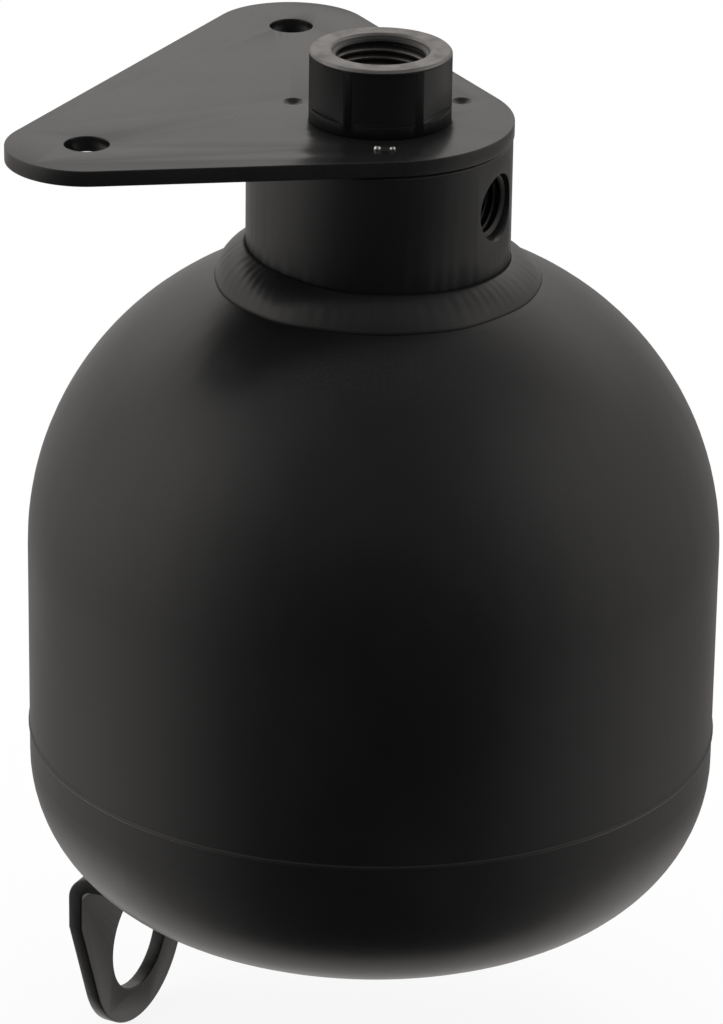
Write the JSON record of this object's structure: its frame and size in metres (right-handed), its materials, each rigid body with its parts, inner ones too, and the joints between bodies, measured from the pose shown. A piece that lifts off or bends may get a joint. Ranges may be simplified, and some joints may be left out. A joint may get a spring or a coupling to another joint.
{
  "type": "suspension accumulator",
  "caption": "Gas-charged diaphragm accumulator for hydraulic suspension: welded steel vessel with ported neck, hexagonal top port, bolt-on bracket plate and lower eye bracket.",
  "frame": {"origin": "on the vessel's axis, in the top face of the bracket plate", "axes": "+Z along the vessel's axis, out of the top port; +Y from the axis towards the bracket plate's bolt holes and the eye bracket; the side port opens towards -Y; X = 0 is the plane of symmetry"},
  "size_m": [0.1334, 0.1334, 0.2164],
  "materials": {
    "shell_paint": "semi-gloss",
    "fitting_paint": "semi-gloss",
    "bracket_paint": "gloss",
    "bare_steel": "satin",
    "plated_steel": "satin",
    "rubber": "matte",
    "seal_rubber": "matte"
  },
  "bodies": {
    "housing": {"upper_shell": "shell_paint", "lower_shell": "shell_paint", "girth_weld": "shell_paint", "neck_block": "fitting_paint", "neck_weld": "fitting_paint", "port_union": "fitting_paint", "bracket_plate": "bracket_paint", "clamp_ring": "bare_steel", "diaphragm": "rubber", "gas_boss": "fitting_paint", "gas_plug": "plated_steel", "gas_seal": "seal_rubber", "eye_bracket": "bracket_paint", "eye_weld": "bracket_paint"},
    "button": {"valve_button": "bare_steel", "button_washer": "bare_steel"}
  },
  "joints": [
    {"name": "button_slide", "type": "slide", "parent": "housing", "child": "button", "axis": [0, 0, 1], "range_m": [-0.06, 0], "stiffness_N_per_m": 300, "springref_m": 0.015, "deforming": ["diaphragm"]}
  ]
}
